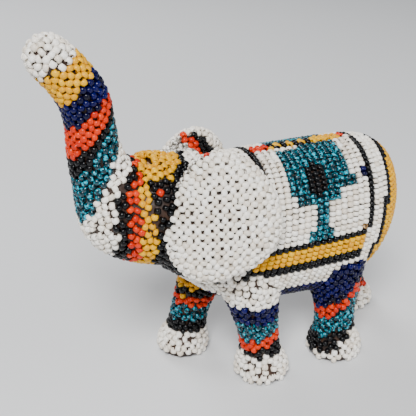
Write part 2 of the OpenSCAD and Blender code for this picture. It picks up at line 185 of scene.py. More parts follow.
def part_rings(d):
    """Rings of every part grown by d, in the order torso, run, four legs and two ears. A grown leg
    stands clear of the ground by FOOT_LIFT of its growth."""
    heights = leg_rows[:, 0][leg_rows[:, 0] >= d * FOOT_LIFT]
    parts = [[torso_ring(i, TURN, d) for i in range(len(torso_rows))],
             [run_ring(i, TURN, d) for i in range(len(run_rows))]]
    parts += [[leg_ring(leg, z, TURN, d) for z in heights] for leg in LEGS.values()]
    parts += [[ear_ring(side, h, TURN * -side, d) for h in np.linspace(-1, 1, LENS_RINGS)]
              for side in (-1, 1)]
    return parts


def skin_mesh(rings):
    """Points and triangles of a closed skin: a band between each two rings and a fan on each end,
    with the faces turned outwards by the sign of the volume they enclose."""
    n, points = len(rings[0]), np.vstack(rings + [[rings[0].mean(0)], [rings[-1].mean(0)]])
    i, j = np.meshgrid(np.arange(len(rings) - 1) * n, np.arange(n), indexing="ij")
    k = (j + 1) % n
    j0, k0 = np.arange(n), (np.arange(n) + 1) % n
    last, ends = (len(rings) - 1) * n, len(points)
    faces = np.vstack([np.stack([i + j, i + k, i + n + k], 2).reshape(-1, 3),
                       np.stack([i + j, i + n + k, i + n + j], 2).reshape(-1, 3),
                       np.column_stack([k0, j0, np.full(n, ends - 2)]),
                       np.column_stack([last + j0, last + k0, np.full(n, ends - 1)])])
    a, b, c = (points[faces[:, m]] for m in range(3))
    return points, faces if (np.cross(a, b) * c).sum() > 0 else faces[:, ::-1]


trees, boxes = [], []
for rings in part_rings(0):
    points, faces = skin_mesh(rings)
    trees.append(BVHTree.FromPolygons(points.tolist(), faces.tolist()))
    boxes.append((points.min(0) - BOX_MARGIN, points.max(0) + BOX_MARGIN))
print("skins:", len(trees))

# %% [markdown]
# ## How far a point is from the skin
# Beads have to lie evenly where a leg meets the belly or the head meets the neck, and there no
# table alone says where the surface is. So the distance to each part is measured to its nearest
# face, and the parts are joined with a soft minimum, which leaves a small fillet where two of them
# meet, as wax does.

# %% Distance to the joined skin
FAR_OFF = 99.0
BLEND = 0.9


def part_gaps(p):
    """Distance from each point to each part, negative inside it, and the way it grows fastest."""
    gaps = np.full((len(p), len(trees)), FAR_OFF)
    ways = np.zeros((len(p), len(trees), 3))
    for k, (tree, (low, high)) in enumerate(zip(trees, boxes)):
        near = np.flatnonzero(((p > low) & (p < high)).all(1))
        if not len(near):
            continue
        found = [tree.find_nearest(q) for q in p[near].tolist()]
        away = p[near] - np.array([f[0] for f in found])
        sign = np.where((away * np.array([f[1] for f in found])).sum(1) < 0, -1.0, 1.0)
        length = np.linalg.norm(away, axis=1)
        gaps[near, k] = sign * length
        ways[near, k] = away * (sign / (length + 1e-9))[:, None]
    return gaps, ways


def skin_gap(p):
    """Height above the joined skin, and the normal there: the soft minimum of the distances is
    minus the log of the sum of their exponentials, and the normal is their directions weighted by
    the same exponentials."""
    gaps, ways = part_gaps(p)
    low = gaps.min(1)
    weight = np.exp(-(gaps - low[:, None]) / BLEND)
    normal = (ways * weight[:, :, None]).sum(1)
    normal /= np.linalg.norm(normal, axis=1, keepdims=True) + 1e-9
    return low - BLEND * np.log(weight.sum(1)), normal


def settle(p, rounds=3):
    """Lets points fall to a bead's height: each moves along the normal by what it is out by."""
    for _ in range(rounds):
        gap, normal = skin_gap(p)
        p = p - (gap - BEAD_AT)[:, None] * normal
    return p


probe = settle(np.array([[10.0, -30.0, 55.0], [-55.0, 0.0, 120.0]]))
print("settled probes:", probe.round(1).tolist())

# %% [markdown]
# ## Laying the strings
# Over the back and flanks the beads hang side by side on strings that lean back a little with
# height, so they stand in a regular grid with every hole along its string. Everywhere else the
# thread runs from bead to bead in a net: each row is set half a step off the last, and the beads of
# one row lie across those of the next. Each string is worked out as an array, most of them by
# walking a measured distance round a section.

# %% Spacing of the weaves
STRING_STEP, BEAD_STEP = 2.26, 1.7
NET_ROW, NET_STEP = 1.38, 2.68
GRID_FRONT, NET_OVERLAP, BORDER_Z, LEAN = -6.0, 3, 51.2, 0.16
RIM_STEP, PAST_RIM = 2.0, 1.1
spots, holes, fixed, station = [], [], [], []


def keep(points, hole, is_fixed):
    """Stores a string: its bead centres, the way their holes run, whether they may shift, and the
    place along the torso that the string starts from."""
    spots.append(points)
    holes.append(np.broadcast_to(hole, points.shape).copy())
    fixed.append(np.full(len(points), is_fixed))
    station.append(points[:, 0].copy())


def walk(track, step, start=0.0):
    """Places along a polyline at equal steps of its own length, as fractional row numbers."""
    length = np.concatenate([[0], np.cumsum(np.linalg.norm(np.diff(track, axis=0), axis=1))])
    return np.interp(np.arange(start, length[-1], step), length, np.arange(len(track)))


def round_ring(ring_at, step, from_angle, off=0.0, fit=False):
    """Angles at equal steps of length round a ring: the way round is summed on a fine polygon and
    read back at each step. fit rounds the step so that the ring closes."""
    a = from_angle + np.linspace(0, 2 * np.pi, 361)
    way = np.concatenate([[0], np.cumsum(np.linalg.norm(np.diff(ring_at(a), axis=0), axis=1))])
    if fit:
        count = max(3, int(round(way[-1] / step)))
        return np.interp((np.arange(count) + off) / count * way[-1], way, a)
    return np.interp(np.arange(off * step, way[-1] / 2, step), way, a)


def net_row(ring_at, number, across):
    """One row of netting, every other row half a step on, with the holes along the row and across
    it by turns."""
    p = ring_at(round_ring(ring_at, NET_STEP, 0.4, 0.5 * (number % 2), fit=True))
    keep(p, across if number % 2 else np.roll(p, -1, axis=0) - p, False)


def grid_string(i):
    """One string on each flank, walked up to the spine and down to the belly from the same height
    on every string, so that neighbours line up. The strings lean back with height."""
    ring_at = lambda a: torso_ring(i, a, BEAD_AT)
    s = ring_at(np.array([0.0, np.pi / 2]))
    low = np.arcsin(np.clip((BORDER_Z - s[0, 2]) / (s[1, 2] - s[0, 2]), -0.98, 0.98))
    for turn in (1, -1):
        a = turn * round_ring(ring_at, BEAD_STEP, turn * low, 0.5)
        p = ring_at(a[np.abs(a) < np.pi / 2])
        for flank in (1, -1):
            q = p * [1, flank, 1]
            keep(q, (LEAN, 0, 1), True)
            spots[-1][:, 0] += LEAN * (q[:, 2] - TORSO_LIFT)


# %% Strings of the torso, head and trunk
track = np.array([torso_ring(i, np.array([0.0]), BEAD_AT)[0] for i in range(len(torso_rows))])
strings = walk(track, STRING_STEP, start=0.8)
for i in strings[np.interp(strings, np.arange(len(track)), track[:, 0]) > GRID_FRONT]:
    grid_string(i)
rows = walk(track, NET_ROW)
row_x = np.interp(rows, np.arange(len(track)), track[:, 0])
for number, i in enumerate(rows[row_x < GRID_FRONT + NET_OVERLAP]):
    net_row(lambda a: torso_ring(i, a, BEAD_AT), number, (1, 0, 0))
for number, i in enumerate(walk(run_rows[:, :2], NET_ROW, start=0.3)):
    ahead = run_ahead[int(i)]
    net_row(lambda a: run_ring(i, a, BEAD_AT), number, (ahead[0], 0, ahead[1]))
print("torso, head and trunk:", sum(map(len, spots)), "beads laid")

# %% Rows of the legs and ears
GROUND = SOLE + BEAD * 0.45
for leg in LEGS.values():
    for number, z in enumerate(np.arange(GROUND, HIP_Z, NET_ROW)):
        net_row(lambda a: leg_ring(leg, z, a, BEAD_AT), number, (0, 0, 1))
for side in (-1, 1):
    axes = ear_axes(side)
    rim_at = lambda a: ear_ring(side, 0, a, BEAD_AT)
    keep(rim_at(round_ring(rim_at, RIM_STEP, 0, fit=True)), axes[1], False)
    for number, v in enumerate(np.arange(-EAR_HEIGHT, EAR_HEIGHT, NET_ROW)):
        u = np.arange(-EAR_LENGTH, EAR_LENGTH, NET_STEP) + NET_STEP / 2 * (number % 2)
        a = np.arctan2(v / EAR_HEIGHT, u / EAR_LENGTH)
        u = u[np.hypot(u / EAR_LENGTH, v / EAR_HEIGHT) * 2 < ear_reach(a) * PAST_RIM]
        for face in (-1, 1):
            q = np.column_stack([u, np.full_like(u, face * (EAR_THICK / 2 + BEAD_AT)),
                                 np.full_like(u, v)])
            keep(q @ axes + EARS[side], axes[0] if number % 2 else axes[2], False)
spots, holes, fixed, station = map(np.concatenate, (spots, holes, fixed, station))
print("with legs and ears:", len(spots), "beads laid")

# %% [markdown]
# ## Making the strings meet
# Where two parts meet, their strings run into each other. First the beads that lie inside another
# part go, and the rest fall onto the joined skin. Then the beads that crowd an earlier one are
# taken off, more are pressed into the gaps that have room, and those off the grid push each other
# apart, as beads on a thread do. All three steps are done twice.

# %% Drop the beads onto the skin
def choose(kept):
    """Keeps the listed beads, in the listed order."""
    global spots, holes, fixed, station
    spots, holes, fixed, station = spots[kept], holes[kept], fixed[kept], station[kept]


SUNK, LOW_LAID, LOW_SPREAD = 0.7, 0.2, 0.3
choose(np.flatnonzero(part_gaps(spots)[0].min(1) > BEAD_AT - SUNK))
lean_by = spots[:, 0] - station
spots = settle(spots)
station = spots[:, 0] - np.where(fixed, lean_by, 0)
choose(np.flatnonzero(spots[:, 2] > GROUND - LOW_LAID))
choose(np.argsort(~fixed, kind="stable"))
print("on the skin:", len(spots))


# %% Thin, spread and fill
CROWDED_GRID, CROWDED_NET, ROOM, SPREAD = 1.4, 1.52, 1.5, 2.02
PUSH, JOG, OFF_SKIN = 0.3, 0.25, 0.15
PER_TORSO, PER_RUN, PER_LEG, PER_EAR, PER_END = 16, 12, 5, 8, 80
EAR_SHARE, EAR_BOX = 0.55, [EAR_LENGTH, 13, EAR_HEIGHT]


def thin(points, reach, first=0):
    """Keeps each point in turn unless one kept before it is nearer than its reach. The points
    before first are all kept. Points are sorted into cells, and only the cells round one count."""
    cells, kept = {}, []
    index = np.floor(points / reach.max()).astype(int).tolist()
    steps = [(x, y, z) for x in (-1, 0, 1) for y in (-1, 0, 1) for z in (-1, 0, 1)]
    for k, (x, y, z) in enumerate(index):
        near = [j for a, b, c in steps for j in cells.get((x + a, y + b, z + c), ())]
        crowded = (k >= first and near
                   and ((points[near] - points[k])**2).sum(1).min() < reach[k]**2)
        if not crowded:
            kept.append(k)
            cells.setdefault((x, y, z), []).append(k)
    return np.array(kept)


def neighbours(points, reach):
    """Pairs of points nearer than reach, as two index arrays."""
    tree = KDTree(len(points))
    for k, p in enumerate(points):
        tree.insert(p, k)
    tree.balance()
    pairs = [(k, j) for k, p in enumerate(points)
             for _, j, _ in tree.find_range(p, reach) if j != k]
    return np.array(pairs).T


def scatter(count):
    """Points at random on rings of every part, in a box round each ear and over the rear end of the
    torso and the tip of the trunk, all dropped onto the skin. Those that miss it are left out."""
    turn = lambda n: rng.uniform(0, 2 * np.pi, n)
    parts = [torso_ring(i, turn(PER_TORSO), BEAD_AT)
             for i in rng.uniform(0, len(torso_rows) - 1, count)]
    parts += [run_ring(i, turn(PER_RUN), BEAD_AT)
              for i in rng.uniform(0, len(run_rows) - 1, count)]
    for leg in LEGS.values():
        parts += [leg_ring(leg, z, turn(PER_LEG), BEAD_AT)
                  for z in rng.uniform(GROUND, HIP_Z, count // 2)]
    for side in (-1, 1):
        parts += [ear_ring(side, h, turn(PER_EAR), BEAD_AT)
                  for h in rng.uniform(-1, 1, count // 2)]
        flat = rng.uniform(-EAR_SHARE, EAR_SHARE, (count * 3, 3)) * EAR_BOX
        parts.append(flat @ ear_axes(side) + EARS[side])
    for end in (torso_ring(len(torso_rows) - 1, turn(PER_END), BEAD_AT),
                run_ring(len(run_rows) - 1, turn(PER_END), BEAD_AT)):
        middle = end.mean(0)
        parts.append(middle + (end - middle) * rng.uniform(0, 1, (len(end), 1)))
    points = settle(np.vstack(parts))
    gap, _ = skin_gap(points)
    return points[(np.abs(gap - BEAD_AT) < OFF_SKIN) & (points[:, 2] > GROUND)]


def fill(extra):
    """Adds the scattered points that have room round them, each lying a random way."""
    global spots, holes, fixed, station
    both = np.vstack([spots, extra])
    new = thin(both, np.full(len(both), ROOM), len(spots))[len(spots):]
    spots = np.vstack([spots, both[new]])
    holes = np.vstack([holes, rng.normal(size=(len(new), 3))])
    fixed = np.concatenate([fixed, np.zeros(len(new), bool)])
    station = np.concatenate([station, both[new, 0]])


def spread(rounds):
    """Each bead off the grid moves away from neighbours nearer than SPREAD, then back onto the
    skin."""
    global spots
    for _ in range(rounds):
        i, j = neighbours(spots, SPREAD)
        away = spots[i] - spots[j]
        far = np.linalg.norm(away, axis=1, keepdims=True) + 1e-9
        push = np.zeros_like(spots)
        np.add.at(push, i, away / far * (SPREAD - far) * PUSH)
        moved = settle(spots[~fixed] + push[~fixed], rounds=1)
        spots[~fixed] = moved


choose(thin(spots, np.where(fixed, CROWDED_GRID, CROWDED_NET)))
print("after thinning:", len(spots))
loose = scatter(count=700)
fill(loose)
spots[~fixed] += rng.normal(0, JOG, spots[~fixed].shape)
spread(rounds=10)
choose(thin(spots, np.where(fixed, CROWDED_GRID, CROWDED_NET)))
fill(loose)
spread(rounds=5)
choose(np.flatnonzero(spots[:, 2] > GROUND - LOW_SPREAD))
_, normals = skin_gap(spots)
station = np.where(fixed, station, spots[:, 0])
print("beads on the figure:", len(spots))

# %% [markdown]
# ## Colours
# The fields of colour follow the frame's shells, but some edges on the trunk, face, blanket and
# belt stand some millimetres from the shells' own. Each bead takes the name of the shell whose
# field it lies in. On the trunk, head and legs a small random shift in each bead's place gives the
# fields uneven edges, as in real beadwork. A few patches and odd beads have no shell of their own.

# %% Fields of the trunk and head
RINGS = np.array([
    [-56, 111, 36], [-51, 105.3, 41], [-48.5, 98, 38], [-48, 92, 52], [-48, 86.3, 60],
    [-48.7, 72.7, 64], [-45, 73, 90], [-41.3, 73, 90], [-38.4, 73, 90], [-33.8, 73, 90],
    [-21, 60, 86]])
SWEEP = np.array([0, 0, 0, 0, 0, 0, 1.0, 0.7, 0.7, 2.0, 0])
RING_NODES = ["trunk_tip", "trunk_yellow", "trunk_navy", "trunk_orange", "trunk_black",
              "trunk_teal", "chin_white", "face_black", "face_orange", "face_yellow",
              "cheek_black"]
RING_GLASS = ["white", "yellow", "navy", "orange", "black", "teal", "white", "black", "orange",
              "yellow", "black"]
SWEEP_Z = 73
EYE = np.array([-31.5, 13, 73])
EYE_PATCH, EYE_SIDE = 3.6, 9
CHEST_X, CHEST_Z = -9.5, 42
CREST_REAR, CREST_FRONT, CREST_Y, CREST_Z = -14, -25, 1, 74


def beyond(p, plane):
    """How far a point is on the tip's side of a plane."""
    tilt = np.radians(plane[2])
    return (p[:, 2] - plane[1]) * np.cos(tilt) - (p[:, 0] - plane[0]) * np.sin(tilt)


gaps, _ = part_gaps(spots)
owner = gaps.argmin(1)
X, Y, Z = spots.T
shell = np.full(len(spots), "flank_white_beads", dtype=object)
glass = np.full(len(spots), "white", dtype=object)
jitter = rng.uniform(-0.5, 0.5, len(spots))


def paint(where, name, colour):
    """Gives beads to a shell of the frame, unless name is empty, and a colour of glass."""
    if name:
        shell[where] = name
    glass[where] = colour


on_body = owner < 2
ahead = np.column_stack([beyond(spots, plane) for plane in RINGS])
ahead += SWEEP * np.maximum(Z - SWEEP_Z, 0)[:, None]
on_run = on_body & (ahead[:, -1] > 0)
for k in range(len(RINGS) - 1, -1, -1):
    paint(on_run & (ahead[:, k] + jitter > 0), RING_NODES[k] + "_beads", RING_GLASS[k])
eye_patch = on_run & (np.hypot(X - EYE[0], Z - EYE[2]) < EYE_PATCH) & (np.abs(Y) > EYE_SIDE)
paint(eye_patch, "cheek_black_beads", "black")
for side in (-1, 1):
    away = np.linalg.norm(spots - EYE * [1, side, 1], axis=1)
    paint(np.arange(len(spots)) == away.argmin(), "eye_beads", "orange")
paint(on_body & (X < CHEST_X) & (Z < CHEST_Z), "", "black")
crest = on_body & (X > CREST_FRONT) & (X < CREST_REAR) & (Y > CREST_Y) & (Z > CREST_Z)
paint(crest, "", "crystal")
print("beads on the trunk and head:", on_run.sum())

# %% Fields of the torso
share_x = (station - NECK_X) / TORSO_LENGTH
share_z = (Z - TORSO_LIFT) / (TORSO_HEIGHT / 2)
on_torso = on_body & ~on_run
BLANKET_FRONT, BLANKET_REAR, COLLAR, HAUNCH = 0.23, 0.75, 0.285, 0.775
BELT_LOW, BORDER_LOW, BORDER_HIGH = -0.68, -0.36, 0.06
STRIPE_IN, STRIPE_LOW, STRIPE_HIGH = 0.022, 0.13, 0.1
HAUNCH_LINE, RUMP_LINE, HAUNCH_LEAN = 0.812, 0.838, 0.28
FLOWER_LEAN, COLLAR_WIDE, COLLAR_LOW = 0.15, 0.025, 0.95


def tile(x0, x1, z0, z1, lean=0.0):
    """Which beads of the torso lie in a rectangle of the side view, in shares of its size. The
    rectangle leans back with height by a share of its height."""
    x = share_x if lean == 0 else (X - lean * (Z - TORSO_LIFT) - NECK_X) / TORSO_LENGTH
    return on_torso & (x > x0) & (x < x1) & (share_z > z0) & (share_z < z1)


FLOWER = [(0.398, 0.65, 0.68, 1.07), (0.64, 0.676, 0.65, 0.78), (0.425, 0.604, 0.52, 0.69),
          (0.491, 0.554, BORDER_HIGH, 0.53), (0.46, 0.59, BORDER_HIGH, 0.22),
          (0.51, 0.565, 1.06, 3)]
HEART = [(0.475, 0.56, 0.67, 0.93), (0.495, 0.535, 0.62, 0.98)]
border = tile(BLANKET_FRONT, BLANKET_REAR, BORDER_LOW, BORDER_HIGH)
stripe = tile(BLANKET_FRONT + STRIPE_IN, BLANKET_REAR, BORDER_LOW + STRIPE_LOW,
              BORDER_HIGH - STRIPE_HIGH)
for box in FLOWER:
    paint(tile(*box, FLOWER_LEAN), "flower_beads", "teal")
for box in HEART:
    paint(tile(*box, FLOWER_LEAN), "flower_heart_beads", "black")
paint(tile(COLLAR, COLLAR + COLLAR_WIDE, COLLAR_LOW, 3), "collar_beads", "black")
paint(border, "border_black_beads", "black")
paint(stripe, "border_yellow_beads", "yellow")
paint(tile(-9, BLANKET_REAR, BELT_LOW, BORDER_LOW), "belt_white_beads", "white")
paint(tile(-9, BLANKET_REAR, -3, BELT_LOW), "belly_navy_beads", "navy")
hind = tile(HAUNCH, 9, -3, 3)
paint(tile(BLANKET_REAR, 9, -3, 3), "haunch_black_beads", "black")
paint(hind & ~tile(HAUNCH_LINE, 9, -3, 3, HAUNCH_LEAN), "haunch_white_beads", "white")
paint(hind & tile(RUMP_LINE, 9, -3, 3, HAUNCH_LEAN), "rump_yellow_beads", "yellow")
paint(tile(BLANKET_REAR, HAUNCH, -3, BORDER_HIGH), "haunch_white_beads", "white")

# %% The strip along the spine, and odd beads
SPINE_Y, SPINE_HALF, SPINE_LOW = 1.2, 2.6, 0.6
DASH_START, DASH_END, SPINE_END, DASHES = 0.4, 0.6, 0.7, 40
ODD_BEADS = [(37.5, 68, 1.5, "navy"), (34.4, 52.4, 1.4, "topaz")]
spine = (tile(COLLAR + COLLAR_WIDE, BLANKET_REAR, SPINE_LOW, 3)
         & (np.abs(Y - SPINE_Y) < SPINE_HALF))
paint(spine, "spine_beads", "yellow")
paint(spine & (share_x < DASH_START), "", "orange")
dash = (share_x > DASH_START) & (share_x < DASH_END) & (np.floor(share_x * DASHES) % 2 == 0)
paint(spine & dash, "", "black")
paint(spine & (share_x > SPINE_END), "", "orange")
for x, z, reach, colour in ODD_BEADS:
    paint(on_torso & (Y < 0) & (np.hypot(X - x, Z - z) < reach), "", colour)
print("beads on the torso:", on_torso.sum())

# %% Fields of the legs
LEG_PARTS = ["foot", "ankle", "shin", "knee", "thigh", "hip"]
BANDS = {"front_left": [9.6, 12.8, 16.2, 23, 30, 99], "hind_left": [6.4, 10.4, 19, 23.7, 99],
         "front_right": [9.6, 13.3, 19.6, 23, 99], "hind_right": [8, 11, 14, 20, 99]}
RISES = {"front_left": [0, 0.27, 0.27, 0.1, 0, 0], "hind_left": [0.6, 0.54, 1.05, 1.2, 0],
         "front_right": [0, 0, 0, 0, 0], "hind_right": [0, 0, 0, 0, 0]}
LEG_GLASS = {"front_left": ["white", "black", "orange", "teal", "navy", "white"],
             "hind_left": ["white", "black", "teal", "orange", "navy"],
             "front_right": ["white", "black", "teal", "orange", "yellow"],
             "hind_right": ["white", "orange", "black", "teal", "navy"]}
FIRST_LEG, FIRST_EAR = 2, 6
LEVEL_AHEAD, RISE_REACH = 3, 6
KNEE_LOW, KNEE_HIGH = 22.8, 26
height = Z + jitter
for k, (name, leg) in enumerate(LEGS.items()):
    on_leg = owner == FIRST_LEG + k
    behind = np.clip(X - leg[1] + LEVEL_AHEAD, -RISE_REACH, RISE_REACH)
    bottom = np.full(len(spots), -9.0)
    for top, rise, part, colour in zip(BANDS[name], RISES[name], LEG_PARTS, LEG_GLASS[name]):
        level = top + rise * behind
        paint(on_leg & (height > bottom) & (height <= level), name + "_" + part + "_beads", colour)
        bottom = level
front_right = owner == FIRST_LEG + list(LEGS).index("front_right")
paint(front_right & (Z > KNEE_LOW) & (Z < KNEE_HIGH), "", "black")
print("beads on the legs:", ((owner >= FIRST_LEG) & (owner < FIRST_EAR)).sum())

# %% Fields of the ears
INLAY_OUT, INLAY_LOW, INLAY_SHARE = 0.5, 5, 0.95
INLAY_ACROSS, INLAY_UP, INLAY_WIDE, INLAY_TALL = -3, 6, 11.5, 14
SLANT, SLANT_UP, ORANGE_EDGE, CRYSTAL_EDGE = 0.5, 9, 3.4, -0.8
for k, (side, name) in enumerate(((-1, "left"), (1, "right"))):
    across, out, up = ear_local(spots, side).T
    on_ear = owner == FIRST_EAR + k
    paint(on_ear, "ear_beads_" + name, "white")
    round_inlay = np.hypot((across - INLAY_ACROSS) / INLAY_WIDE, (up - INLAY_UP) / INLAY_TALL)
    inner = on_ear & (out < INLAY_OUT) & (up > INLAY_LOW) & (round_inlay < INLAY_SHARE)
    slant = across + SLANT * (up - SLANT_UP)
    paint(inner, "ear_inlay_beads", "black")
    paint(inner & (slant < ORANGE_EDGE), "", "orange")
    paint(inner & (slant < CRYSTAL_EDGE), "", "crystal")
names, counts = np.unique(glass.astype(str), return_counts=True)
print("beads by colour:", dict(zip(names.tolist(), counts.tolist())))

# %% [markdown]
# ## One bead
# A seed bead is cut from a drawn glass tube and tumbled hot until its edges are round. So its
# outline is a closed curve turned about the hole: narrowest in the middle of the bore, rounded at
# the ends and full round the outside. Ten steps round and six along are enough at this size.

# %% Turn the outline into a bead
AROUND = 10
OUTLINE = np.array([[0.40, 0.0], [0.60, 0.76], [0.96, 0.60], [1.13, 0.0], [0.96, -0.60],
                    [0.60, -0.76]])
HOLE_TILT, BEAD_TILT = 0.16, 0.1
NET_GIRTH, GIRTH_SPREAD = 1.03, 0.025
GRID_LENGTH, NET_LENGTH, LENGTH_SPREAD = 1.05, 1.18, 0.08


def bead_shape():
    """Points and faces of a bead about Z: the outline at each of AROUND equal turns."""
    turn = 2 * np.pi * np.arange(AROUND) / AROUND
    radius, height = OUTLINE.T
    points = np.stack([np.outer(np.cos(turn), radius), np.outer(np.sin(turn), radius),
                       np.broadcast_to(height, (AROUND, len(OUTLINE)))], axis=2).reshape(-1, 3)
    i, j = np.meshgrid(np.arange(AROUND), np.arange(len(OUTLINE)), indexing="ij")
    i2, j2, wide = (i + 1) % AROUND, (j + 1) % len(OUTLINE), len(OUTLINE)
    faces = np.stack([i * wide + j, i * wide + j2, i2 * wide + j2, i2 * wide + j], axis=2)
    return points, faces.reshape(-1, 4)


def bead_frames(normals, holes):
    """Three directions for each bead: across, up from the skin, and along the hole, which is the
    wish for the hole with its part along the normal taken away, then tilted a little at random."""
    wish = holes / (np.linalg.norm(holes, axis=1)[:, None] + 1e-9)
    wish = wish + rng.normal(0, HOLE_TILT, holes.shape)
    along = wish - (wish * normals).sum(1)[:, None] * normals
    along /= np.linalg.norm(along, axis=1)[:, None] + 1e-9
    up = normals + rng.normal(0, BEAD_TILT, normals.shape)
    up -= (up * along).sum(1)[:, None] * along
    up /= np.linalg.norm(up, axis=1)[:, None]
    return np.stack([np.cross(up, along), up, along], axis=1)


shape, shape_faces = bead_shape()
frames = bead_frames(normals, holes)
girth = np.where(fixed, 1.0, NET_GIRTH) * rng.normal(1, GIRTH_SPREAD, len(spots))
length = np.where(fixed, GRID_LENGTH, NET_LENGTH) * rng.normal(1, LENGTH_SPREAD, len(spots))
stretch = np.column_stack([girth, girth, length])
tones = rng.uniform(0, 1, len(spots))
print("one bead:", len(shape), "points,", len(shape_faces), "faces")


# %% Build a mesh from arrays
def mesh_piece(name, points, faces):
    """A smooth mesh object from whole arrays of points in millimetres and of equal-sided faces."""
    mesh = bpy.data.meshes.new(name)
    mesh.vertices.add(len(points))
    mesh.vertices.foreach_set("co", (points * MM).ravel())
    mesh.loops.add(faces.size)
    mesh.loops.foreach_set("vertex_index", faces.ravel())
    mesh.polygons.add(len(faces))
    mesh.polygons.foreach_set("loop_start", np.arange(0, faces.size, faces.shape[1]))
    mesh.polygons.foreach_set("use_smooth", np.ones(len(faces), bool))
    mesh.update(calc_edges=True)
    mesh.validate()
    piece = bpy.data.objects.new(name, mesh)
    bpy.context.scene.collection.objects.link(piece)
    return piece


def lay_beads(name, chosen):
    """All the chosen beads as one mesh: the bead's points are turned by each bead's frame and
    moved to its place, and a number for each bead's tone is stored on its points."""
    local = shape[None] * stretch[chosen][:, None]
    points = np.einsum("bvi,bij->bvj", local, frames[chosen]) + spots[chosen][:, None]
    first = np.arange(len(points))[:, None, None] * len(shape)
    piece = mesh_piece(name, points.reshape(-1, 3), (shape_faces[None] + first).reshape(-1, 4))
    tone = piece.data.attributes.new("tone", "FLOAT", "POINT")
    tone.data.foreach_set("value", np.repeat(tones[chosen], len(shape)))
    return piece


# %% [markdown]
# ## Glass, wax and wood
# Opaque glass is a plain glossy colour with a small difference from bead to bead. Silver-lined
# glass is clear glass round a bright bore. It is dark, with sharp light flecks painted into its
# colour as glints, which are painted highlights standing in for light off the lining. Wax fills the
# gaps nearly up to the middle of the beads, and the wood shows only at the soles.

# %% Node materials
def new_material(name, roughness=0.3, gloss=0.5):
    """An empty node material, its shader and its node tree, with the constants set."""
    material = bpy.data.materials.new(name)
    material.use_nodes = True
    shader = material.node_tree.nodes["Principled BSDF"]
    shader.inputs["Roughness"].default_value = roughness
    shader.inputs["Specular IOR Level"].default_value = gloss
    return material, shader, material.node_tree


def ramp(tree, source, stops):
    """A colour ramp over a value: each stop is a place and a colour."""
    blend = tree.nodes.new("ShaderNodeValToRGB")
    elements = blend.color_ramp.elements
    while len(elements) < len(stops):
        elements.new(0.5)
    for element, (place, colour) in zip(elements, stops):
        element.position, element.color = place, (*colour, 1)
    tree.links.new(source, blend.inputs["Fac"])
    return blend.outputs["Color"]


def noise(tree, scale, detail=2.0, squash=(1, 1, 1)):
    """Noise over the object's own coordinates, in steps of about 1 / scale metres. A squash under
    one draws it out along that axis."""
    where = tree.nodes.new("ShaderNodeTexCoord")
    drawn = tree.nodes.new("ShaderNodeMapping")
    drawn.inputs["Scale"].default_value = squash
    field = tree.nodes.new("ShaderNodeTexNoise")
    field.inputs["Scale"].default_value = scale
    field.inputs["Detail"].default_value = detail
    tree.links.new(where.outputs["Object"], drawn.inputs["Vector"])
    tree.links.new(drawn.outputs["Vector"], field.inputs["Vector"])
    return field.outputs["Fac"]


def bumped(tree, shader, height, distance):
    """Adds a bump of a given depth in metres to a shader."""
    bump = tree.nodes.new("ShaderNodeBump")
    bump.inputs["Distance"].default_value = distance
    tree.links.new(height, bump.inputs["Height"])
    tree.links.new(bump.outputs["Normal"], shader.inputs["Normal"])


def opaque_glass(name, stops, roughness=0.28, gloss=0.25):
    """Opaque glass: a ramp of near colours over the bead's tone, with a gloss of its own."""
    material, shader, tree = new_material(name, roughness, gloss)
    tone = tree.nodes.new("ShaderNodeAttribute")
    tone.attribute_name = "tone"
    tree.links.new(ramp(tree, tone.outputs["Fac"], stops), shader.inputs["Base Color"])
    return material


def lined_glass_painted_glints(name, dark, light, painted_glint, share=0.56):
    """Silver-lined glass: fine noise paints bright flecks into the dark glass. These are painted
    glints that stand in for light caught by the lining.
    """
    material, shader, tree = new_material(name, 0.18, 0.5)
    # the brightest stop, and in part the middle one, are painted highlight: specks of colour
    # standing in for glints of light off the silver lining
    stops = [(share - 0.14, dark), (share, light), (share + 0.09, painted_glint)]
    tree.links.new(ramp(tree, noise(tree, 1000, 1.0), stops), shader.inputs["Base Color"])
    return material


GLASS = {
    "white": opaque_glass("white glass", [(0, (0.74, 0.66, 0.55)), (0.3, (0.90, 0.84, 0.74)),
                                          (1, (0.96, 0.93, 0.87))], 0.35, 0.5),
    "yellow": opaque_glass("yellow glass", [(0, (0.66, 0.30, 0.0)), (1, (0.82, 0.44, 0.0))]),
    "orange": opaque_glass("orange glass", [(0, (0.50, 0.012, 0.0)), (1, (0.70, 0.038, 0.0))]),
    "black": opaque_glass("black glass", [(0, (0.001, 0.001, 0.0015)), (1, (0.004, 0.004, 0.005))],
                          0.2),
    "navy": opaque_glass("navy glass", [(0, (0.0, 0.0, 0.01)), (1, (0.001, 0.001, 0.075))], 0.2),
    # teal, crystal and topaz glass carry painted glints in their colour, from the fine noise
    "teal": lined_glass_painted_glints("teal glass", (0.0, 0.016, 0.024), (0.0, 0.07, 0.10), (0.0, 0.42, 0.56)),
    "crystal": lined_glass_painted_glints("crystal glass", (0.13, 0.12, 0.10), (0.42, 0.39, 0.34),
                           (0.95, 0.92, 0.86), 0.5),
    "topaz": lined_glass_painted_glints("topaz glass", (0.05, 0.02, 0.005), (0.25, 0.13, 0.03), (0.8, 0.55, 0.3)),
}
print("glass colours:", list(GLASS))


# %% Wax and wood
def wax_material():
    """Soft resin wax: dark brown, uneven in colour, with a fine uneven surface."""
    material, shader, tree = new_material("wax", 0.5)
    stops = [(0.3, (0.012, 0.005, 0.003)), (0.7, (0.045, 0.018, 0.008))]
    tree.links.new(ramp(tree, noise(tree, 160), stops), shader.inputs["Base Color"])
    bumped(tree, shader, noise(tree, 900), 0.0002)
    return material


def wood_material(name, dark, light):
    """Wood: bands of grain from noise drawn out along X, with pores as a fine bump."""
    material, shader, tree = new_material(name, 0.6)
    grain = noise(tree, 400, 2.0, (0.15, 1, 1))
    tree.links.new(ramp(tree, grain, [(0.35, dark), (0.65, light)]), shader.inputs["Base Color"])
    bumped(tree, shader, grain, 0.0001)
    return material


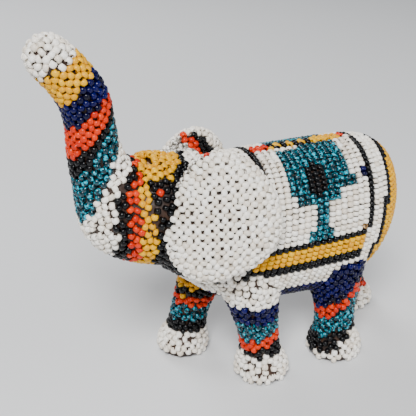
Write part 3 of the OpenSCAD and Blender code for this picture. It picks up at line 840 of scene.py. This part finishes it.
wax = wax_material()
wood = wood_material("copal wood", (0.42, 0.26, 0.13), (0.62, 0.42, 0.24))
dowel = wood_material("dowel wood", (0.5, 0.36, 0.2), (0.7, 0.55, 0.36))
SKINS = {"body_core": wood, "trunk_core": wood, "ear_core_left": wood, "ear_core_right": wood,
         "trunk_peg": dowel, "ear_pegs": dowel}
for name, material in SKINS.items():
    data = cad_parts[name].data
    data.materials.clear()
    data.materials.append(material)
print("wood on", len(SKINS), "parts")

# %% [markdown]
# ## Beads and wax take the place of the shells
# Each group of beads of one colour in one shell is one piece. It rides on the figure and stands for
# that shell. The wax is pressed up between the beads, so its surface stands just under their
# middles.


def install(piece, material, name):
    """Gives a piece its material, and its place in the frame."""
    piece.data.materials.append(material)
    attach(piece, "root")
    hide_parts(name)


shells = [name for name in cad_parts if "_beads" in name]
for name in shells:
    for colour in sorted(set(glass[shell == name])):
        chosen = np.flatnonzero((shell == name) & (glass == colour))
        piece = lay_beads(name.replace("_beads", "") + "_" + colour, chosen)
        install(piece, GLASS[colour], name)
print("shells:", len(shells), "beads:", len(spots))

# %% Press the wax between them
WAX_RISE, TRUNK_CUT = 1.5, (-45, 77, 12)
SPLIT = int(np.flatnonzero(beyond(run_rows[:, [0, 0, 1]], TRUNK_CUT) > 0)[0])


def wax_piece(name, skins, node):
    """The wax of one node: closed skins that stand WAX_RISE above the wood."""
    points, faces, first = [], [], 0
    for rings in skins:
        p, f = skin_mesh(rings)
        points.append(p)
        faces.append(f + first)
        first += len(p)
    install(mesh_piece(name, np.vstack(points), np.vstack(faces)), wax, node)


coat = part_rings(WAX_RISE)
wax_piece("wax_on_body", [coat[0], coat[1][:SPLIT + 1]], "body_wax")
wax_piece("wax_on_trunk", [coat[1][SPLIT:]], "trunk_wax")
wax_piece("wax_on_legs", coat[2:6], "leg_wax")
wax_piece("wax_on_left_ear", [coat[6]], "ear_wax_left")
wax_piece("wax_on_right_ear", [coat[7]], "ear_wax_right")
print("wax stands", WAX_RISE, "mm above the wood, under bead middles at", BEAD_AT)

# %% [markdown]
# ## Light and camera
# A pale floor, a strong soft light high behind the camera, a weak one to its right and a third high
# on the far side. The camera stands about a quarter of a metre away on the figure's left side, a
# little towards its head, and looks down on it.

# %% Floor
bpy.ops.mesh.primitive_plane_add(size=6)
floor = bpy.context.object
floor.name = "floor"
floor_material, floor_shader, _ = new_material("pale floor", 0.85)
floor_shader.inputs["Base Color"].default_value = (0.72, 0.73, 0.74, 1)
floor.data.materials.append(floor_material)


# %% Lights
def area_light(name, place, size, power, target=(0, 0, 0.05)):
    """A square soft light of a given size and power, turned towards a target."""
    data = bpy.data.lights.new(name, "AREA")
    data.size, data.energy = size, power
    light = bpy.data.objects.new(name, data)
    light.location = place
    way = np.array(target) - np.array(place)
    turn = np.arctan2(way[1], way[0]) - np.pi / 2
    light.rotation_euler = (np.pi / 2 + np.arctan2(way[2], np.hypot(way[0], way[1])), 0, turn)
    bpy.context.scene.collection.objects.link(light)


area_light("key", (-0.35, -0.55, 0.75), 0.35, 14.0)
area_light("fill", (0.7, -0.6, 0.35), 0.7, 3.0)
area_light("rim", (-0.1, 0.7, 0.6), 0.5, 5.0)
world = bpy.data.worlds.new("studio")
world.use_nodes = True
world.node_tree.nodes["Background"].inputs["Color"].default_value = (0.9, 0.93, 1.0, 1)
world.node_tree.nodes["Background"].inputs["Strength"].default_value = 0.2
bpy.context.scene.world = world

# %% Camera
AZIMUTH, ELEVATION, DISTANCE = np.radians(-25.65), np.radians(25.6), 0.262
TARGET = np.array([-7.24, 8.0, 55.0]) * MM
back = np.array([np.sin(AZIMUTH) * np.cos(ELEVATION), -np.cos(AZIMUTH) * np.cos(ELEVATION),
                 np.sin(ELEVATION)])
lens = bpy.data.cameras.new("camera")
lens.lens, lens.sensor_width = 68.8, 36
camera = bpy.data.objects.new("camera", lens)
camera.location = TARGET + back * DISTANCE
camera.rotation_euler = (np.pi / 2 - ELEVATION, 0, AZIMUTH)
bpy.context.scene.collection.objects.link(camera)
bpy.context.scene.camera = camera
print("camera at", np.round(camera.location, 3))
